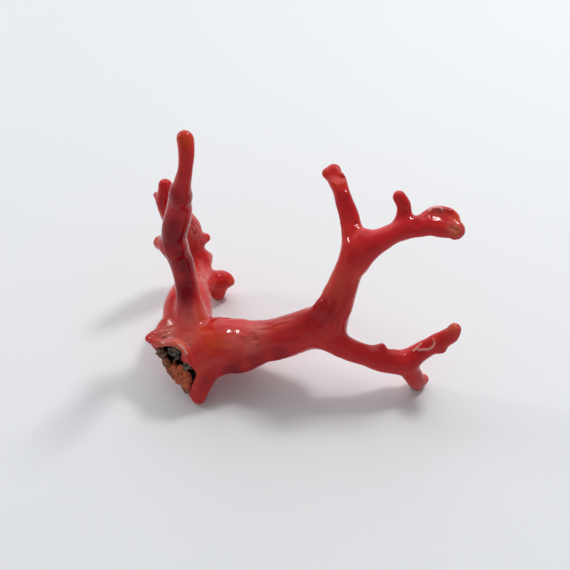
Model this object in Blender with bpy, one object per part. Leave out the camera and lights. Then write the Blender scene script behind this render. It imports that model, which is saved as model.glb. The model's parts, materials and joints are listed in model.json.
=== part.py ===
"""A branch of polished red coral, lying as it rests on three points.

The coral forks from a broken root end: a main branch runs to +X and forks into an upper and a
lower branch, a second branch stands upright from the root, and a third runs back along the
ground and turns up. Its skeleton is laid out below as limbs, then fused into one skin, and
the skin is parted at the main forks, one object for each stretch between forks.

Frame: metres, +Z up, z = 0 is the ground. The origin is on the ground, under the middle of
the coral's box. +X runs along the main branch and +Y to the back. All lengths below are
written in millimetres and multiplied by MM.
"""

import bmesh
import bpy
from mathutils import Matrix, Vector

MM = 0.001

# ---- driving dimensions, mm -----------------------------------------------------------------
FORK_GAP = 0.3        # clear space between two parts at a fork
ROUTE_STEP = 0.7      # spacing of the points along a limb
SKIN_VOXEL = 0.35     # cell of the fused skin
SKIN_SMOOTHING = 10   # passes that round the creases where limbs meet
SKIN_RATIO = 0.1      # share of the skin's triangles that is kept

# Limbs: (x, y, z, radius) along each axis, from the root outwards. Limbs overlap at the forks.
LIMBS = {
    "main branch": [(-13.5, -8.7, 7.1, 4.9), (-10.8, -8.15, 6.4, 4.75), (-8.6, -8.05, 6.6, 4.2),
                    (-6.4, -8.0, 7.2, 3.7), (-4.2, -8.3, 8.1, 3.6), (-1.0, -8.4, 9.65, 3.55),
                    (2.2, -8.4, 11.3, 3.35), (5.0, -8.4, 12.6, 3.1)],
    "upper branch": [(3.6, -8.4, 12.0, 3.0), (5.6, -7.8, 14.9, 2.85), (6.95, -6.4, 18.0, 2.62),
                     (8.2, -5.0, 22.0, 2.3), (9.6, -3.7, 25.0, 2.2)],
    "upper left": [(9.3, -4.4, 23.5, 2.0), (9.0, -1.5, 26.2, 1.85), (8.55, 0.2, 27.5, 1.6),
                   (7.9, 2.5, 29.0, 1.47), (7.2, 4.8, 30.0, 1.4), (6.65, 6.5, 30.6, 1.28)],
    "upper right": [(9.3, -4.4, 24.0, 2.1), (11.6, -3.75, 26.1, 2.05), (13.6, -3.0, 26.95, 1.8),
                    (16.6, -1.9, 27.5, 1.5), (19.2, -1.6, 27.95, 1.7), (20.9, -1.6, 28.0, 1.65),
                    (22.6, -1.9, 27.8, 1.55), (24.2, -2.2, 27.85, 1.4),
                    (24.6, -2.45, 27.8, 1.42)],
    "paddle's upper lobe": [(20.6, -0.3, 28.7, 1.15), (21.5, 0.05, 29.0, 1.3),
                            (22.6, 0.1, 29.1, 1.25), (23.7, -0.15, 28.95, 1.25),
                            (24.25, -0.5, 28.7, 1.15)],
    "curled twig": [(16.4, -1.5, 27.6, 1.4), (16.8, 0.1, 29.0, 1.2), (16.7, 0.8, 30.3, 1.12),
                    (16.0, 1.5, 31.4, 1.0)],
    "lower branch": [(3.6, -9.1, 11.6, 2.6), (6.3, -11.0, 10.7, 2.15), (8.8, -11.75, 9.35, 1.92),
                     (11.8, -12.2, 8.2, 1.85), (15.4, -12.4, 7.0, 2.1), (18.3, -11.9, 6.5, 1.95),
                     (21.2, -11.05, 8.25, 1.6), (23.6, -10.85, 10.5, 1.5),
                     (25.0, -10.75, 11.85, 1.3), (25.65, -10.35, 12.9, 0.98)],
    "foot": [(18.2, -12.1, 5.8, 1.75), (19.4, -12.7, 3.5, 1.65), (20.6, -13.0, 0.85, 1.2)],
    "upright branch": [(-18.6, -6.8, 9.0, 3.2), (-18.7, -3.8, 12.5, 2.25),
                       (-19.1, -1.4, 16.0, 1.9), (-19.5, -0.5, 20.0, 2.0),
                       (-20.1, -0.2, 23.5, 1.85), (-19.4, 0.0, 27.0, 2.1),
                       (-18.45, 0.3, 30.0, 2.0), (-17.8, 0.5, 33.0, 1.75),
                       (-17.05, 0.2, 36.0, 1.36), (-16.15, 0.2, 38.8, 1.15),
                       (-15.75, 0.9, 41.0, 1.22), (-15.8, 2.1, 42.8, 1.3)],
    "back branch": [(-19.3, -6.3, 7.5, 4.3), (-19.9, -0.8, 8.3, 4.3), (-19.4, 3.7, 7.4, 3.35),
                    (-18.9, 8.2, 6.2, 2.6), (-19.3, 11.7, 7.0, 2.1), (-20.2, 13.7, 10.0, 1.95),
                    (-20.8, 14.2, 13.4, 2.6), (-22.35, 13.6, 17.0, 2.45),
                    (-23.4, 13.0, 21.0, 1.7), (-23.0, 13.6, 24.4, 1.2)],
    "root": [(-16.1, -9.4, 6.7, 4.75), (-20.0, -12.4, 6.4, 4.0), (-22.0, -14.8, 7.2, 3.9)],
    "root spur in front": [(-17.1, -10.3, 5.5, 3.9), (-17.8, -13.7, 3.3, 2.75),
                           (-17.75, -15.25, 1.2, 1.5)],
    "root spur on the left": [(-19.1, -8.6, 7.5, 3.8), (-22.8, -8.6, 7.9, 2.75),
                              (-25.8, -9.3, 8.85, 2.1)],
}

# Knobs, lobes and webs: short limbs that swell out of the ones above.
KNOBS = {
    "web behind the left spur": [(-20.0, -4.3, 8.3, 2.6), (-22.1, -5.5, 8.3, 2.0)],
    "web in the upper fork": [(9.8, -3.2, 25.6, 1.5), (10.7, -2.6, 26.6, 1.5)],
    "web in the main fork": [(2.6, -8.1, 13.4, 1.5), (4.1, -7.8, 16.2, 1.35)],
    "upright shoulder": [(-17.6, 0.2, 33.5, 1.5), (-17.95, 0.1, 34.6, 1.1)],
    "upper left tip": [(6.65, 6.5, 30.6, 1.2), (6.0, 8.0, 30.75, 1.15),
                       (6.2, 8.75, 30.95, 1.05)],
    "upper left tip's corner": [(6.1, 8.2, 30.8, 1.0), (4.95, 8.2, 31.0, 0.7)],
    "belly under the main branch": [(-11.2, -9.9, 5.0, 2.2), (-9.6, -10.1, 5.2, 2.3),
                                    (-7.8, -9.9, 6.0, 1.8)],
    "upright knob": [(-20.2, 0.0, 23.4, 2.35), (-22.5, 1.0, 22.8, 1.2)],
    "back upper nub": [(-23.8, 13.3, 21.6, 1.15), (-25.15, 13.9, 21.9, 0.6)],
    "back side nub": [(-19.6, 13.5, 10.6, 1.75), (-17.6, 14.5, 10.3, 0.9)],
    "back round knob": [(-18.5, 11.8, 6.9, 1.95), (-17.6, 13.2, 6.4, 1.15)],
    "back stub": [(-18.6, 7.8, 5.0, 2.2), (-15.8, 9.1, 4.1, 1.95), (-14.7, 9.4, 4.1, 1.7),
                  (-13.85, 9.3, 3.9, 1.4), (-13.15, 9.15, 3.6, 0.9)],
    "back stub's lower lobe": [(-15.0, 9.1, 3.6, 1.55), (-15.8, 8.55, 1.2, 1.55)],
    "foot toe": [(20.2, -13.0, 2.4, 1.0), (21.65, -12.45, 1.5, 1.0)],
    "lower branch bump": [(13.4, -11.6, 8.7, 1.0), (14.0, -11.0, 9.2, 0.65)],
    "lower branch ledge": [(23.2, -11.4, 10.0, 1.1), (23.6, -11.8, 9.7, 0.85)],
}

# Root end: broken off flat, with a pitted crust lodged in a hollow of the break.
BREAK_POINT = (-22.3, -12.1, 4.8)
BREAK_NORMAL = (-0.577, -0.764, 0.287)
BREAK_LONG_WAY = (-0.453, 0.592, 0.666)
HOLLOW_CENTRE = (-20.45, -12.85, 6.75)
HOLLOW_HALF_LONG = 3.9
HOLLOW_HALF_WIDE = 2.7
HOLLOW_DEPTH = 1.9
CRUST_CLEARANCE = 0.3
CRUST_SET_BACK = 0.35

# Forks: (point on the axis, outward direction, reach), where the reach is the ball, round the
# point, that holds the whole cross-section and no other limb.
FORKS = [
    ((-9.4, -8.4, 6.3), (1.0, 0.0, 0.1), 7.0),        # root to main branch
    ((-18.8, -3.1, 13.6), (0.0, 0.25, 0.97), 4.0),    # root to upright branch
    ((-19.9, 2.2, 7.8), (0.1, 0.99, -0.1), 6.0),      # root to back branch
    ((-16.6, 8.7, 4.0), (0.9, 0.0, -0.43), 3.5),      # back branch to its stub
    ((-19.1, 10.4, 6.6), (-0.1, 0.97, 0.2), 4.0),     # back branch to its upturned end
    ((6.5, -7.0, 16.6), (0.37, 0.37, 0.85), 4.4),     # main to upper branch
    ((9.4, -11.9, 9.0), (0.84, -0.27, -0.47), 3.6),   # main to lower branch
    ((19.4, -12.6, 4.0), (0.49, -0.24, -0.84), 2.8),  # lower branch to its foot
    ((20.5, -11.3, 7.7), (0.87, 0.2, 0.45), 3.2),     # lower branch to its tip
    ((8.8, -0.7, 26.8), (-0.27, 0.77, 0.58), 3.0),    # upper to upper left branch
    ((12.6, -3.3, 26.5), (0.91, 0.32, 0.27), 3.6),    # upper to upper right branch
    ((16.75, 0.25, 29.2), (-0.15, 0.47, 0.87), 2.4),  # upper right branch to curled twig
    ((18.4, -1.6, 27.8), (0.98, 0.05, 0.15), 3.0),    # upper right branch to paddle tip
]

# Parts: a point inside each one, near its middle.
PARTS = {
    "root_base": (-17.0, -9.3, 6.5),
    "main_branch": (-1.0, -8.4, 9.7),
    "upper_branch": (8.5, -5.0, 22.0),
    "upper_left_branch": (7.75, 2.5, 29.0),
    "upper_right_branch": (14.5, -2.7, 27.0),
    "curled_twig": (16.5, 1.0, 30.5),
    "paddle_tip": (22.0, -0.9, 28.3),
    "lower_branch": (14.0, -12.4, 7.4),
    "lower_branch_foot": (20.2, -13.1, 2.2),
    "lower_branch_tip": (23.6, -11.1, 10.3),
    "upright_branch": (-19.0, 0.2, 28.0),
    "back_branch": (-19.2, 6.5, 6.7),
    "back_branch_stub": (-14.7, 9.0, 3.0),
    "back_branch_end": (-21.5, 13.9, 15.0),
}
CORAL_RED = (0.42, 0.02, 0.02, 1.0)
CRUST_BROWN = (0.16, 0.07, 0.03, 1.0)


def clear_scene():
    """Remove every object that the scene starts with."""
    for obj in list(bpy.data.objects):
        bpy.data.objects.remove(obj, do_unlink=True)


def coral_material(name, colour, roughness):
    """A plain Principled material in one colour."""
    material = bpy.data.materials.new(name)
    material.use_nodes = True
    shader = material.node_tree.nodes["Principled BSDF"]
    shader.inputs["Base Color"].default_value = colour
    shader.inputs["Roughness"].default_value = roughness
    shader.inputs["Metallic"].default_value = 0.0
    return material


def smooth_route(stations):
    """Points on a Catmull-Rom curve through the stations, each with its radius."""
    rows = [Vector(row) for row in stations]
    rows = [2 * rows[0] - rows[1]] + rows + [2 * rows[-1] - rows[-2]]
    route = []
    for before, start, end, after in zip(rows, rows[1:], rows[2:], rows[3:]):
        span = (end.xyz - start.xyz).length
        count = max(2, round(span / ROUTE_STEP))
        for i in range(count):
            t = i / count
            route.append(0.5 * (2 * start + (end - before) * t
                                + (2 * before - 5 * start + 4 * end - after) * t ** 2
                                + (3 * start - before - 3 * end + after) * t ** 3))
    route.append(rows[-2])
    return route


def add_limbs(curve, routes):
    """One round, tapering spline for each route."""
    for route in routes:
        spline = curve.splines.new("POLY")
        spline.points.add(len(route) - 1)
        for point, row in zip(spline.points, route):
            point.co = (row.x * MM, row.y * MM, row.z * MM, 1.0)
            point.radius = row.w


def limb_mesh(routes):
    """Tubes along the routes with a ball on each end, not yet fused."""
    curve = bpy.data.curves.new("limbs", "CURVE")
    curve.dimensions = "3D"
    curve.bevel_depth = MM
    curve.bevel_resolution = 4
    curve.use_fill_caps = True
    add_limbs(curve, routes)
    tubes = bpy.data.objects.new("limbs", curve)
    bpy.context.collection.objects.link(tubes)
    bpy.context.view_layer.update()
    bm = bmesh.new()
    bm.from_mesh(tubes.evaluated_get(bpy.context.evaluated_depsgraph_get()).to_mesh())
    for route in routes:
        for end in (route[0], route[-1]):
            place = Matrix.Translation(end.xyz * MM)
            bmesh.ops.create_icosphere(bm, subdivisions=3, radius=end.w * MM, matrix=place)
    mesh = bpy.data.meshes.new("limbs and knobs")
    bm.to_mesh(mesh)
    bm.free()
    bpy.data.objects.remove(tubes)
    bpy.data.curves.remove(curve)
    return mesh


def fused_skin(mesh):
    """The limbs fused into one closed skin, smoothed at the forks and thinned out."""
    obj = bpy.data.objects.new("skin", mesh)
    bpy.context.collection.objects.link(obj)
    remesh = obj.modifiers.new("fuse", "REMESH")
    remesh.mode = "VOXEL"
    remesh.voxel_size = SKIN_VOXEL * MM
    smooth = obj.modifiers.new("round the creases", "SMOOTH")
    smooth.iterations = SKIN_SMOOTHING
    triangulate = obj.modifiers.new("triangles", "TRIANGULATE")
    triangulate.quad_method = "BEAUTY"
    decimate = obj.modifiers.new("thin out", "DECIMATE")
    decimate.ratio = SKIN_RATIO
    bpy.context.view_layer.update()
    bm = bmesh.new()
    bm.from_mesh(obj.evaluated_get(bpy.context.evaluated_depsgraph_get()).to_mesh())
    bpy.data.objects.remove(obj)
    return bm


def fill_holes(bm, edges):
    """Close each open loop among the edges with triangles."""
    rims = [edge for edge in edges if edge.is_valid and edge.is_boundary]
    caps = bmesh.ops.holes_fill(bm, edges=rims, sides=0)["faces"]
    bmesh.ops.triangulate(bm, faces=caps)


def slice_off(bm, point, normal):
    """Remove everything beyond a plane and close the cut flat."""
    everything = bm.verts[:] + bm.edges[:] + bm.faces[:]
    cut = bmesh.ops.bisect_plane(bm, geom=everything, dist=0.02 * MM, plane_co=point,
                                 plane_no=normal, use_snap_center=True, clear_outer=True)
    fill_holes(bm, [item for item in cut["geom_cut"] if isinstance(item, bmesh.types.BMEdge)])


def part_at_fork(bm, point, direction, reach):
    """Take out a thin slice across one limb and close both sides flat."""
    direction = direction.normalized()
    for side in (-0.5, 0.5):
        near = [face for face in bm.faces if (face.calc_center_median() - point).length < reach]
        nearby = set(near)
        for face in near:
            nearby.update(face.verts)
            nearby.update(face.edges)
        bmesh.ops.bisect_plane(bm, geom=list(nearby), dist=0.02 * MM, use_snap_center=True,
                               plane_co=point + side * FORK_GAP * MM * direction,
                               plane_no=direction)
    half = (0.5 * FORK_GAP + 0.03) * MM
    slab = [face for face in bm.faces
            if (face.calc_center_median() - point).length < reach
            and all(abs((vert.co - point).dot(direction)) < half for vert in face.verts)]
    rim = {edge for face in slab for edge in face.edges}
    bmesh.ops.delete(bm, geom=slab, context="FACES")
    fill_holes(bm, rim)


def islands(bm):
    """The separate bodies of the mesh, each as a list of faces."""
    left = set(bm.faces)
    found = []
    while left:
        stack = [left.pop()]
        body = []
        while stack:
            face = stack.pop()
            body.append(face)
            for edge in face.edges:
                for other in edge.link_faces:
                    if other in left:
                        left.remove(other)
                        stack.append(other)
        found.append(body)
    return found


def body_mesh(name, faces):
    """A mesh of its own from some of the skin's faces."""
    bm = bmesh.new()
    copies = {}
    for face in faces:
        for vert in face.verts:
            if vert not in copies:
                copies[vert] = bm.verts.new(vert.co)
    for face in faces:
        bm.faces.new([copies[vert] for vert in face.verts])
    bmesh.ops.recalc_face_normals(bm, faces=bm.faces)
    mesh = bpy.data.meshes.new(name)
    bm.to_mesh(mesh)
    bm.free()
    return mesh


def add_part(name, mesh, material):
    """One named object of the model, shaded smooth except at its cuts."""
    mesh.materials.append(material)
    mesh.shade_smooth()
    mesh.set_sharp_from_angle(angle=0.9)
    part = bpy.data.objects.new(name, mesh)
    bpy.context.collection.objects.link(part)
    return part


def hollow_frame():
    """The hollow's place and axes: X along it, Y across it, Z out of the break."""
    out = Vector(BREAK_NORMAL).normalized()
    along = Vector(BREAK_LONG_WAY)
    along = (along - along.dot(out) * out).normalized()
    across = out.cross(along)
    centre = Vector(HOLLOW_CENTRE)
    centre = centre - (centre - Vector(BREAK_POINT)).dot(out) * out
    axes = Matrix((along, across, out)).transposed().to_4x4()
    return Matrix.Translation(centre * MM) @ axes


def hollow_shape(name, shrink, facets):
    """An oval ball centred in the break, smaller all round by shrink."""
    bm = bmesh.new()
    bmesh.ops.create_uvsphere(bm, u_segments=facets, v_segments=facets // 2, radius=1.0)
    halves = [HOLLOW_HALF_LONG - shrink, HOLLOW_HALF_WIDE - shrink, HOLLOW_DEPTH - shrink]
    bmesh.ops.scale(bm, vec=[half * MM for half in halves], verts=bm.verts)
    bmesh.ops.transform(bm, matrix=hollow_frame(), verts=bm.verts)
    return bm


def cut_hollow(base):
    """Cut the hollow into the root base's break."""
    bm = hollow_shape("hollow", 0.0, 32)
    mesh = bpy.data.meshes.new("hollow")
    bm.to_mesh(mesh)
    bm.free()
    cutter = bpy.data.objects.new("hollow_cutter", mesh)
    cutter.hide_render = True
    cutter.display_type = "WIRE"
    bpy.context.collection.objects.link(cutter)
    cut = base.modifiers.new("hollow", "BOOLEAN")
    cut.operation = "DIFFERENCE"
    cut.object = cutter


def add_crust(material):
    """The pitted crust that fills the hollow, a little below the break."""
    bm = hollow_shape("crust", CRUST_CLEARANCE, 28)
    out = Vector(BREAK_NORMAL).normalized()
    face_point = hollow_frame().translation - CRUST_SET_BACK * MM * out
    slice_off(bm, face_point, out)
    mesh = bpy.data.meshes.new("root_crust")
    bm.to_mesh(mesh)
    bm.free()
    return add_part("root_crust", mesh, material)


def main():
    clear_scene()
    red = {name: coral_material(name, CORAL_RED, 0.25) for name in PARTS}
    routes = [smooth_route(rows) for rows in [*LIMBS.values(), *KNOBS.values()]]
    skin = fused_skin(limb_mesh(routes))
    slice_off(skin, Vector((0.0, 0.0, 0.0)), Vector((0.0, 0.0, -1.0)))
    slice_off(skin, Vector(BREAK_POINT) * MM, Vector(BREAK_NORMAL))
    for point, direction, reach in FORKS:
        part_at_fork(skin, Vector(point) * MM, Vector(direction), reach * MM)
    bodies = islands(skin)
    for name, inside in PARTS.items():
        heart = Vector(inside) * MM
        nearest = min(bodies, key=lambda body: min((f.calc_center_median() - heart).length
                                                   for f in body))
        add_part(name, body_mesh(name, nearest), red[name])
        bodies.remove(nearest)
    skin.free()
    cut_hollow(bpy.data.objects["root_base"])
    add_crust(coral_material("root_crust", CRUST_BROWN, 0.9))


main()
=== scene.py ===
"""The looks of a branch of polished red coral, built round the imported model.

The coral's skin is the zero level of one smooth field round the skeleton of limbs. It is meshed,
given its growth lines, dents and pits, and parted at the forks into one closed piece for each CAD
node. The rough crust in the broken root end comes from a field of its own.

Frame: +Z up, z = 0 is the ground. All lengths are written in millimetres, and MM turns them into
metres when a mesh, a lamp or the camera is made.
"""

import functools
import itertools
import json
import math

import bmesh
import bpy
import numpy as np
from mathutils import Matrix, Vector

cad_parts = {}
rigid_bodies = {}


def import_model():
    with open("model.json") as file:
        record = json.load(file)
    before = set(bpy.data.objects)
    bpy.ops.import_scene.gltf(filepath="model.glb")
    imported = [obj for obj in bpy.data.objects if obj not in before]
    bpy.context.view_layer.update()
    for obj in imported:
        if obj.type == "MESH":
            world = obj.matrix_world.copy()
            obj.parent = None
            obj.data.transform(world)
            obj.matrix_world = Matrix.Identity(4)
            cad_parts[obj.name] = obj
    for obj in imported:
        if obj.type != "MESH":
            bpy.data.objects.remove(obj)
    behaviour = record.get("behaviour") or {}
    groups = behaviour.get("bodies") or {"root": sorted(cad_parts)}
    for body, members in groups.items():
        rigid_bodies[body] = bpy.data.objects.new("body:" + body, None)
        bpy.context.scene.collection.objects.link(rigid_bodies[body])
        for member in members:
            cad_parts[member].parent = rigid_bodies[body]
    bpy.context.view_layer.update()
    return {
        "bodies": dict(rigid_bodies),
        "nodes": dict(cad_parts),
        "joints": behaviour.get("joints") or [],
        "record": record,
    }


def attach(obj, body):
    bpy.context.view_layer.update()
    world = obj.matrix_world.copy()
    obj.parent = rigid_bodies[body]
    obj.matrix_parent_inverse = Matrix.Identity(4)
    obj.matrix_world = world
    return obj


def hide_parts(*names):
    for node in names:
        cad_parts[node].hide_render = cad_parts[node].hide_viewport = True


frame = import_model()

MM = 0.001

# ---- fineness, mm ----
SKIN_CELL = 0.17    # grid of the skin's field
CRUST_CELL = 0.09  # grid of the crust's field
ROUTE_STEP = 0.6      # spacing of the points along a limb
LIMB_BLEND = 1.8      # width of the fillet where a limb meets the others
KNOB_BLEND = 1.5      # the same where a knob swells out of a limb
BREAK_BLEND = 2.0     # rounding of the break's edge
GROUND_BLEND = 0.25   # rounding of the flats that rest on the ground
FIELD_REACH = 2.4     # how far from a limb its distances are worked out
GRID_MARGIN = 1.0     # room round the coral on its grid
CUT_SNAP = 0.002      # points this near a fork's plane count as on it
SKIN_ROUNDS = 12      # rounds of smoothing for the skin
CRUST_ROUNDS = 1      # and for the crust
SMOOTHING = (0.5, -0.53)  # share of the way in to the neighbours' mean, then back out
FAR = 50.0            # a distance beyond every fillet
TINY = 1e-6           # keeps a division from failing

# ---- skeleton ----
# Limbs: (x, y, z, radius) along each axis, from the root outwards. Limbs overlap at the forks.
LIMBS = {
    "main branch": [
        (-13.5, -8.7, 7.1, 4.9), (-10.8, -8.15, 6.4, 4.75), (-8.6, -8.05, 6.6, 4.2),
        (-6.4, -8.0, 7.2, 3.7), (-4.2, -8.3, 8.1, 3.6), (-1.0, -8.4, 9.65, 3.55),
        (2.2, -8.4, 11.3, 3.35), (5.0, -8.4, 12.6, 3.1)],
    "upper branch": [
        (3.6, -8.4, 12.0, 3.0), (5.6, -7.8, 14.9, 2.85), (6.95, -6.4, 18.0, 2.62),
        (8.2, -5.0, 22.0, 2.3), (9.6, -3.7, 25.0, 2.2)],
    "upper left": [
        (9.3, -4.4, 23.5, 2.0), (9.0, -1.5, 26.2, 1.85), (8.55, 0.2, 27.5, 1.6),
        (7.9, 2.5, 29.0, 1.47), (7.2, 4.8, 30.0, 1.4), (6.65, 6.5, 30.6, 1.28)],
    "upper right": [
        (9.3, -4.4, 24.0, 2.1), (11.6, -3.75, 26.1, 2.05), (13.6, -3.0, 26.95, 1.8),
        (16.6, -1.9, 27.5, 1.5), (19.2, -1.6, 27.95, 1.7), (20.9, -1.6, 28.0, 1.65),
        (22.6, -1.9, 27.8, 1.55), (24.2, -2.2, 27.85, 1.4), (24.6, -2.45, 27.8, 1.42)],
    "paddle's upper lobe": [
        (20.6, -0.3, 28.7, 1.15), (21.5, 0.05, 29.0, 1.3), (22.6, 0.1, 29.1, 1.25),
        (23.7, -0.15, 28.95, 1.25), (24.25, -0.5, 28.7, 1.15)],
    "curled twig": [
        (16.4, -1.5, 27.6, 1.4), (16.8, 0.1, 29.0, 1.2), (16.7, 0.8, 30.3, 1.12),
        (16.0, 1.5, 31.4, 1.0)],
    "lower branch": [
        (3.6, -9.1, 11.6, 2.6), (6.3, -11.0, 10.7, 2.15), (8.8, -11.75, 9.35, 1.92),
        (11.8, -12.2, 8.2, 1.85), (15.4, -12.4, 7.0, 2.1), (18.3, -11.9, 6.5, 1.95),
        (21.2, -11.05, 8.25, 1.6), (23.6, -10.85, 10.5, 1.5), (25.0, -10.75, 11.85, 1.3),
        (25.65, -10.35, 12.9, 0.98)],
    "foot": [(18.2, -12.1, 5.8, 1.75), (19.4, -12.7, 3.5, 1.65), (20.6, -13.0, 0.85, 1.2)],
    "upright branch": [
        (-18.6, -6.8, 9.0, 3.2), (-18.7, -3.8, 12.5, 2.25), (-19.1, -1.4, 16.0, 1.9),
        (-19.5, -0.5, 20.0, 2.0), (-20.1, -0.2, 23.5, 1.85), (-19.4, 0.0, 27.0, 2.1),
        (-18.45, 0.3, 30.0, 2.0), (-17.8, 0.5, 33.0, 1.75), (-17.05, 0.2, 36.0, 1.36),
        (-16.15, 0.2, 38.8, 1.15), (-15.75, 0.9, 41.0, 1.22), (-15.8, 2.1, 42.8, 1.3)],
    "back branch": [
        (-19.3, -6.3, 7.5, 4.3), (-19.9, -0.8, 8.3, 4.3), (-19.4, 3.7, 7.4, 3.35),
        (-18.9, 8.2, 6.2, 2.6), (-19.3, 11.7, 7.0, 2.1), (-20.2, 13.7, 10.0, 1.95),
        (-20.8, 14.2, 13.4, 2.6), (-22.35, 13.6, 17.0, 2.45), (-23.4, 13.0, 21.0, 1.7),
        (-23.0, 13.6, 24.4, 1.2)],
    "root": [(-16.1, -9.4, 6.7, 4.75), (-20.0, -12.4, 6.4, 4.0), (-22.0, -14.8, 7.2, 3.9)],
    "root spur in front": [
        (-17.1, -10.3, 5.5, 3.9), (-17.8, -13.7, 3.3, 2.75), (-17.75, -15.25, 1.2, 1.5)],
    "root spur on the left": [
        (-19.1, -8.6, 7.5, 3.8), (-22.8, -8.6, 7.9, 2.75), (-25.8, -9.3, 8.85, 2.1)],
}

# Knobs, lobes and webs: short limbs that swell out of the ones above.
KNOBS = {
    "web behind the left spur": [(-20.0, -4.3, 8.4, 2.6), (-22.3, -6.1, 8.6, 2.25)],
    "web in the upper fork": [(9.8, -3.2, 25.6, 1.5), (10.7, -2.6, 26.6, 1.5)],
    "web in the main fork": [(2.6, -8.1, 13.4, 1.5), (4.1, -7.8, 16.2, 1.35)],
    "upright shoulder": [(-17.6, 0.2, 33.5, 1.5), (-17.95, 0.1, 34.6, 1.1)],
    "upper left tip": [(6.65, 6.5, 30.6, 1.2), (6.0, 8.0, 30.75, 1.15), (6.2, 8.75, 30.95, 1.05)],
    "upper left tip's corner": [(6.1, 8.2, 30.8, 1.0), (4.95, 8.2, 31.0, 0.7)],
    "belly under the main branch": [
        (-11.2, -9.9, 5.0, 2.2), (-9.6, -10.1, 5.2, 2.3), (-7.8, -9.9, 6.0, 1.8)],
    "upright knob": [(-20.2, 0.0, 23.4, 2.35), (-22.5, 1.0, 22.8, 1.2)],
    "back upper nub": [(-23.8, 13.3, 21.6, 1.15), (-25.15, 13.9, 21.9, 0.6)],
    "back side nub": [(-19.6, 13.5, 10.6, 1.75), (-17.6, 14.5, 10.3, 0.9)],
    "back round knob": [(-18.5, 11.8, 6.9, 1.95), (-17.6, 13.2, 6.4, 1.15)],
    "back stub": [
        (-18.6, 7.8, 5.0, 2.2), (-15.8, 9.1, 4.1, 1.95), (-14.7, 9.4, 4.1, 1.7),
        (-13.85, 9.3, 3.9, 1.4), (-13.15, 9.15, 3.6, 0.9)],
    "back stub's lower lobe": [(-15.0, 9.1, 3.6, 1.55), (-15.8, 8.55, 1.2, 1.55)],
    "foot toe": [(20.2, -13.0, 2.4, 1.0), (21.65, -12.45, 1.5, 1.0)],
    "lower branch bump": [(13.4, -11.6, 8.7, 1.0), (14.0, -11.0, 9.2, 0.65)],
    "lower branch ledge": [(23.2, -11.4, 10.0, 1.1), (23.6, -11.8, 9.7, 0.85)],
}

# Grooves and shallow scoops carved out of the skin by rounded stretches like the limbs.
CARVINGS = {
    "scoop under the main branch": [
        (-12.0, -19.0, 8.4, 6.3), (-8.8, -18.7, 7.7, 6.8), (-5.0, -17.0, 9.3, 6.2)],
    "crease beside the front spur": [
        (-12.2, -13.3, 9.8, 0.6), (-12.3, -13.8, 8.4, 0.95), (-12.5, -14.1, 5.8, 1.15)],
    "valley of the paddle": [(21.3, -1.2, 30.9, 1.2), (23.6, -1.3, 30.8, 1.2)],
    "crease beside the twig": [(18.4, -1.0, 30.5, 0.8), (18.3, -4.3, 28.9, 0.8)],
    "flat of the upper left tip": [(6.0, 5.5, 37.4, 6.0), (6.0, 5.5, 37.4, 6.0)],
    "crease under the upper left tip": [
        (7.9, 6.4, 31.6, 0.6), (6.6, 6.4, 32.2, 0.55), (5.6, 6.5, 32.1, 0.5)],
}
CARVING_BLEND = 0.35

# Root end: broken off flat across this plane.
BREAK_POINT = (-22.3, -12.1, 4.8)
BREAK_NORMAL = (-0.577, -0.764, 0.287)
BREAK_LONG_WAY = (-0.453, 0.592, 0.666)
BREAK_BOX = ((-30.0, -20.0, -1.0), (-8.0, 3.7, 17.0))  # what the break can reach

# Forks: (point on the axis, outward direction, reach). A ball of that reach round the point
# holds the whole cross-section and no other limb's.
FORKS = [
    ((-9.4, -8.4, 6.3), (1.0, 0.0, 0.1), 7.0),        # root to main branch
    ((-18.8, -3.1, 13.6), (0.0, 0.25, 0.97), 4.0),    # root to upright branch
    ((-19.9, 2.2, 7.8), (0.1, 0.99, -0.1), 6.0),      # root to back branch
    ((-16.6, 8.7, 4.0), (0.9, 0.0, -0.43), 3.5),      # back branch to its stub
    ((-19.1, 10.4, 6.6), (-0.1, 0.97, 0.2), 4.0),     # back branch to its upturned end
    ((6.5, -7.0, 16.6), (0.37, 0.37, 0.85), 4.4),     # main to upper branch
    ((9.4, -11.9, 9.0), (0.84, -0.27, -0.47), 3.6),   # main to lower branch
    ((19.4, -12.6, 4.0), (0.49, -0.24, -0.84), 2.8),  # lower branch to its foot
    ((20.5, -11.3, 7.7), (0.87, 0.2, 0.45), 3.2),     # lower branch to its tip
    ((8.8, -0.7, 26.8), (-0.27, 0.77, 0.58), 3.0),    # upper to upper left branch
    ((12.6, -3.3, 26.5), (0.91, 0.32, 0.27), 3.6),    # upper to upper right branch
    ((16.75, 0.25, 29.2), (-0.15, 0.47, 0.87), 2.4),  # upper right branch to curled twig
    ((18.4, -1.6, 27.8), (0.98, 0.05, 0.15), 3.0),    # upper right branch to paddle tip
]

# Parts: a point inside each one, near its middle.
PARTS = {
    "root_base": (-17.0, -9.3, 6.5),
    "main_branch": (-1.0, -8.4, 9.7),
    "upper_branch": (8.5, -5.0, 22.0),
    "upper_left_branch": (7.75, 2.5, 29.0),
    "upper_right_branch": (14.5, -2.7, 27.0),
    "curled_twig": (16.5, 1.0, 30.5),
    "paddle_tip": (22.0, -0.9, 28.3),
    "lower_branch": (14.0, -12.4, 7.4),
    "lower_branch_foot": (20.2, -13.1, 2.2),
    "lower_branch_tip": (23.6, -11.1, 10.3),
    "upright_branch": (-19.0, 0.2, 28.0),
    "back_branch": (-19.2, 6.5, 6.7),
    "back_branch_stub": (-14.7, 9.0, 3.0),
    "back_branch_end": (-21.5, 13.9, 15.0),
}

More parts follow.
